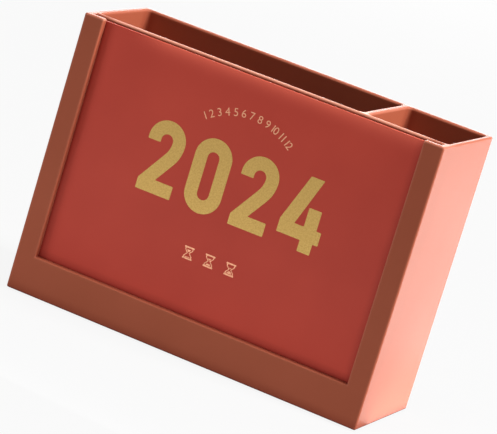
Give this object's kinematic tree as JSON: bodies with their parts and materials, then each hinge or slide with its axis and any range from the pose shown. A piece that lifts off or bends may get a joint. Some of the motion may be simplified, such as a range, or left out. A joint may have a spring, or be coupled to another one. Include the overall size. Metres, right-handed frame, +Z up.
{
  "type": "desk calendar with drawer",
  "caption": "Upright box for a desk: calendar cards in a window frame at the front, open pen compartments behind them, and a drawer in the left side near the foot.",
  "frame": {"origin": "middle of the footprint, on the surface that the four feet stand on", "axes": "+X to the right as seen from the front (the longest extent; the drawer opens towards -X), +Y from the card window to the back (the shortest extent), +Z up"},
  "size_m": [0.21, 0.076, 0.1555],
  "materials": {
    "box_plastic": "satin terracotta moulding, smooth",
    "cover_board": "matt brick-red coated board with a fine leather-like grain",
    "gold_foil": "matt gold foil print",
    "month_paper": "uncoated off-white card",
    "print_ink": "matt brown-red printing ink",
    "foot_rubber": "matt dark rubber",
    "screw_steel": "zinc-plated"
  },
  "bodies": {
    "box": {"box_body": "box_plastic", "base_plate": "box_plastic", "base_screws": "screw_steel", "foot_front_left": "foot_rubber", "foot_front_right": "foot_rubber", "foot_back_left": "foot_rubber", "foot_back_right": "foot_rubber"},
    "drawer": {"drawer": "box_plastic"},
    "title_card": {"title_card": "cover_board"},
    "month_card_01": {"month_card_01": "month_paper"},
    "month_card_02": {"month_card_02": "month_paper"},
    "month_card_03": {"month_card_03": "month_paper"},
    "month_card_04": {"month_card_04": "month_paper"},
    "month_card_05": {"month_card_05": "month_paper"},
    "month_card_06": {"month_card_06": "month_paper"},
    "month_card_07": {"month_card_07": "month_paper"},
    "month_card_08": {"month_card_08": "month_paper"},
    "month_card_09": {"month_card_09": "month_paper"},
    "month_card_10": {"month_card_10": "month_paper"},
    "month_card_11": {"month_card_11": "month_paper"},
    "month_card_12": {"month_card_12": "month_paper"}
  },
  "joints": [
    {"name": "drawer_slide", "type": "slide", "parent": "box", "child": "drawer", "axis": [-1, 0, 0], "range_m": [0, 0.145]},
    {"name": "title_card_lift", "type": "slide", "parent": "box", "child": "title_card", "axis": [0, 0, 1], "range_m": [0, 0.16]},
    {"name": "month_card_01_lift", "type": "slide", "parent": "box", "child": "month_card_01", "axis": [0, 0, 1], "range_m": [0, 0.16]},
    {"name": "month_card_02_lift", "type": "slide", "parent": "box", "child": "month_card_02", "axis": [0, 0, 1], "range_m": [0, 0.16]},
    {"name": "month_card_03_lift", "type": "slide", "parent": "box", "child": "month_card_03", "axis": [0, 0, 1], "range_m": [0, 0.16]},
    {"name": "month_card_04_lift", "type": "slide", "parent": "box", "child": "month_card_04", "axis": [0, 0, 1], "range_m": [0, 0.16]},
    {"name": "month_card_05_lift", "type": "slide", "parent": "box", "child": "month_card_05", "axis": [0, 0, 1], "range_m": [0, 0.16]},
    {"name": "month_card_06_lift", "type": "slide", "parent": "box", "child": "month_card_06", "axis": [0, 0, 1], "range_m": [0, 0.16]},
    {"name": "month_card_07_lift", "type": "slide", "parent": "box", "child": "month_card_07", "axis": [0, 0, 1], "range_m": [0, 0.16]},
    {"name": "month_card_08_lift", "type": "slide", "parent": "box", "child": "month_card_08", "axis": [0, 0, 1], "range_m": [0, 0.16]},
    {"name": "month_card_09_lift", "type": "slide", "parent": "box", "child": "month_card_09", "axis": [0, 0, 1], "range_m": [0, 0.16]},
    {"name": "month_card_10_lift", "type": "slide", "parent": "box", "child": "month_card_10", "axis": [0, 0, 1], "range_m": [0, 0.16]},
    {"name": "month_card_11_lift", "type": "slide", "parent": "box", "child": "month_card_11", "axis": [0, 0, 1], "range_m": [0, 0.16]},
    {"name": "month_card_12_lift", "type": "slide", "parent": "box", "child": "month_card_12", "axis": [0, 0, 1], "range_m": [0, 0.16]}
  ]
}
